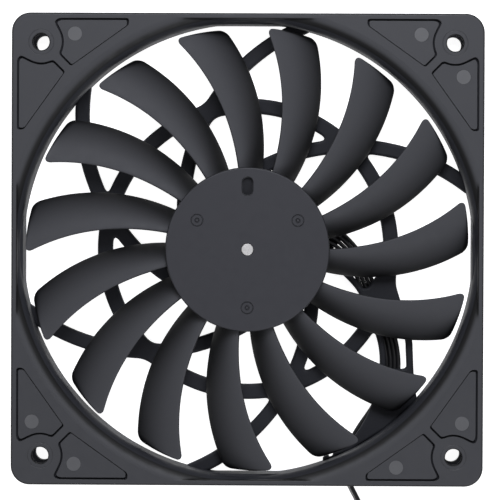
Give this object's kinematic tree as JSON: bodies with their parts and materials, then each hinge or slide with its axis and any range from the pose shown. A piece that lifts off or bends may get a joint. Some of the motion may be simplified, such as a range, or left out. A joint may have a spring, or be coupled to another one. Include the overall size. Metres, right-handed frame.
{
  "type": "case fan",
  "caption": "Slim square axial case fan: open-cornered housing, swept struts, ball-bearing outer-rotor motor, swept-blade impeller and a ribbon lead with connector.",
  "frame": {"origin": "centre of the rear face of the housing, on the shaft's axis; the fan lies on this face", "axes": "+Z along the shaft from the rear (strut) face to the front (intake) face; +X and +Y along the housing's sides, with the lead leaving through the -Y side"},
  "size_m": [0.12, 0.1785, 0.015],
  "materials": {
    "housing_plastic": "moulded glass-filled plastic, charcoal, fine satin grain",
    "impeller_plastic": "moulded plastic, charcoal, smooth satin",
    "label_film": "blank dark film",
    "brass": "turned or stamped",
    "yoke_steel": "drawn, zinc plated",
    "bonded_magnet": "plastic-bonded ferrite",
    "shaft_steel": "ground",
    "spring_steel": "bright wire",
    "washer_nylon": "natural nylon",
    "bearing_steel": "ground and polished",
    "cage_brass": "stamped",
    "shield_steel": "pressed",
    "lamination_steel": "stacked laminations",
    "insulator_nylon": "natural nylon",
    "enamelled_wire": null,
    "board_laminate": "green solder mask",
    "chip_resin": "moulded epoxy",
    "chip_ceramic": "ceramic with tinned ends",
    "wire_insulation": "black PVC",
    "tie_plastic": "black nylon",
    "connector_plastic": "black moulded plastic"
  },
  "bodies": {
    "housing": {"frame": "housing_plastic", "strut_web": "housing_plastic", "motor_base": "housing_plastic", "bearing_tube": "brass", "rear_label": "label_film", "stator_core": "lamination_steel", "upper_insulator": "insulator_nylon", "lower_insulator": "insulator_nylon", "coil_1": "enamelled_wire", "coil_2": "enamelled_wire", "coil_3": "enamelled_wire", "coil_4": "enamelled_wire", "winding_pins": "brass", "circuit_board": "board_laminate", "hall_sensor": "chip_resin", "driver_chip": "chip_resin", "board_parts": "chip_ceramic", "lead_wires": "wire_insulation", "lead_cord": "wire_insulation", "lead_coil": "wire_insulation", "lead_tail": "wire_insulation", "coil_tie": "tie_plastic", "connector_housing": "connector_plastic", "connector_terminals": "brass", "front_outer_race": "bearing_steel", "front_shields": "shield_steel", "rear_outer_race": "bearing_steel", "rear_shields": "shield_steel"},
    "rotor": {"impeller_hub": "impeller_plastic", "impeller_blades": "impeller_plastic", "rotor_yoke": "yoke_steel", "ring_magnet": "bonded_magnet", "yoke_bush": "brass", "shaft": "shaft_steel", "preload_spring": "spring_steel", "thrust_washer": "washer_nylon", "retaining_clip": "spring_steel", "front_inner_race": "bearing_steel", "rear_inner_race": "bearing_steel"},
    "front_ball_set": {"front_balls": "bearing_steel", "front_cage": "cage_brass"},
    "rear_ball_set": {"rear_balls": "bearing_steel", "rear_cage": "cage_brass"}
  },
  "joints": [
    {"name": "rotor_spin", "type": "hinge", "parent": "housing", "child": "rotor", "pos_m": [0, 0, 0.0075], "axis": [0, 0, 1], "continuous": true},
    {"name": "front_balls_orbit", "type": "hinge", "parent": "housing", "child": "front_ball_set", "pos_m": [0, 0, 0.0089], "axis": [0, 0, 1], "continuous": true},
    {"name": "rear_balls_orbit", "type": "hinge", "parent": "housing", "child": "rear_ball_set", "pos_m": [0, 0, 0.0031], "axis": [0, 0, 1], "continuous": true}
  ],
  "couplings": [
    {"joint": "front_balls_orbit", "follows": "rotor_spin", "ratio": 0.3636},
    {"joint": "rear_balls_orbit", "follows": "rotor_spin", "ratio": 0.3636}
  ]
}
